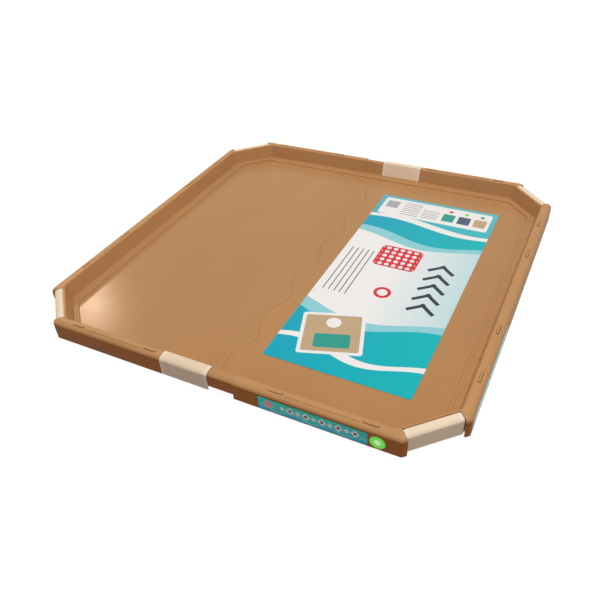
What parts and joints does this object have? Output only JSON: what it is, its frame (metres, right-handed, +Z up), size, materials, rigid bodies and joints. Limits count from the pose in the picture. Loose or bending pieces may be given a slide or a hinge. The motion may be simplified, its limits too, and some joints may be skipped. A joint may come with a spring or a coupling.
{
  "type": "training pad holder",
  "caption": "Shallow square pan with cut corners and a lift-off rim frame that clamps a puppy training pad by its edges; corner latches and sliding clips lock it.",
  "frame": {"origin": "on the ground under the middle of the holder", "axes": "+Z up, -Y towards the front side with the strip label, X across the wavy seam, which runs along Y"},
  "size_m": [0.6, 0.6008, 0.029],
  "materials": {
    "tan_plastic": "satin moulded polypropylene, warm tan",
    "pale_plastic": "satin moulded plastic, pale cream",
    "pin_plastic": "smooth brown plastic rod",
    "foot_rubber": "matt dark rubber",
    "printed_card": "gloss printed card, turquoise and white",
    "printed_strip": "gloss printed strip, teal",
    "green_film": "bright green adhesive film"
  },
  "bodies": {
    "left_half": {"left_tray": "tan_plastic", "left_foot_front_inner": "foot_rubber", "left_foot_back_inner": "foot_rubber", "left_foot_front_outer": "foot_rubber", "left_foot_back_outer": "foot_rubber"},
    "right_half": {"right_tray": "tan_plastic", "right_foot_front_inner": "foot_rubber", "right_foot_back_inner": "foot_rubber", "right_foot_front_outer": "foot_rubber", "right_foot_back_outer": "foot_rubber", "floor_label": "printed_card", "front_label": "printed_strip", "side_label": "printed_strip", "round_sticker": "green_film"},
    "left_rim": {"left_frame": "tan_plastic", "front_left_pin": "pin_plastic", "back_left_pin": "pin_plastic"},
    "right_rim": {"right_frame": "tan_plastic", "front_right_pin": "pin_plastic", "back_right_pin": "pin_plastic"},
    "front_slider": {"front_clip": "pale_plastic"},
    "back_slider": {"back_clip": "pale_plastic"},
    "front_left_flap": {"front_left_latch": "pale_plastic"},
    "front_right_flap": {"front_right_latch": "pale_plastic"},
    "back_left_flap": {"back_left_latch": "pale_plastic"},
    "back_right_flap": {"back_right_latch": "pale_plastic"}
  },
  "joints": [
    {"name": "halves_part", "type": "slide", "parent": "left_half", "child": "right_half", "axis": [1, 0, 0], "range_m": [0, 0.08]},
    {"name": "left_frame_lift", "type": "slide", "parent": "left_half", "child": "left_rim", "axis": [0, 0, 1], "range_m": [0, 0.06]},
    {"name": "right_frame_lift", "type": "slide", "parent": "right_half", "child": "right_rim", "axis": [0, 0, 1], "range_m": [0, 0.06]},
    {"name": "front_clip_slide", "type": "slide", "parent": "left_rim", "child": "front_slider", "axis": [1, 0, 0], "range_m": [0, 0.0348]},
    {"name": "back_clip_slide", "type": "slide", "parent": "right_rim", "child": "back_slider", "axis": [-1, 0, 0], "range_m": [0, 0.0348]},
    {"name": "front_left_latch_open", "type": "hinge", "parent": "left_rim", "child": "front_left_flap", "pos_m": [-0.26209, -0.26209, 0.0255], "axis": [-0.7071, 0.7071, 0], "range_deg": [0, 90]},
    {"name": "front_right_latch_open", "type": "hinge", "parent": "right_rim", "child": "front_right_flap", "pos_m": [0.26209, -0.26209, 0.0255], "axis": [-0.7071, -0.7071, 0], "range_deg": [0, 90]},
    {"name": "back_left_latch_open", "type": "hinge", "parent": "left_rim", "child": "back_left_flap", "pos_m": [-0.26209, 0.26209, 0.0255], "axis": [0.7071, 0.7071, 0], "range_deg": [0, 90]},
    {"name": "back_right_latch_open", "type": "hinge", "parent": "right_rim", "child": "back_right_flap", "pos_m": [0.26209, 0.26209, 0.0255], "axis": [0.7071, -0.7071, 0], "range_deg": [0, 90]}
  ]
}
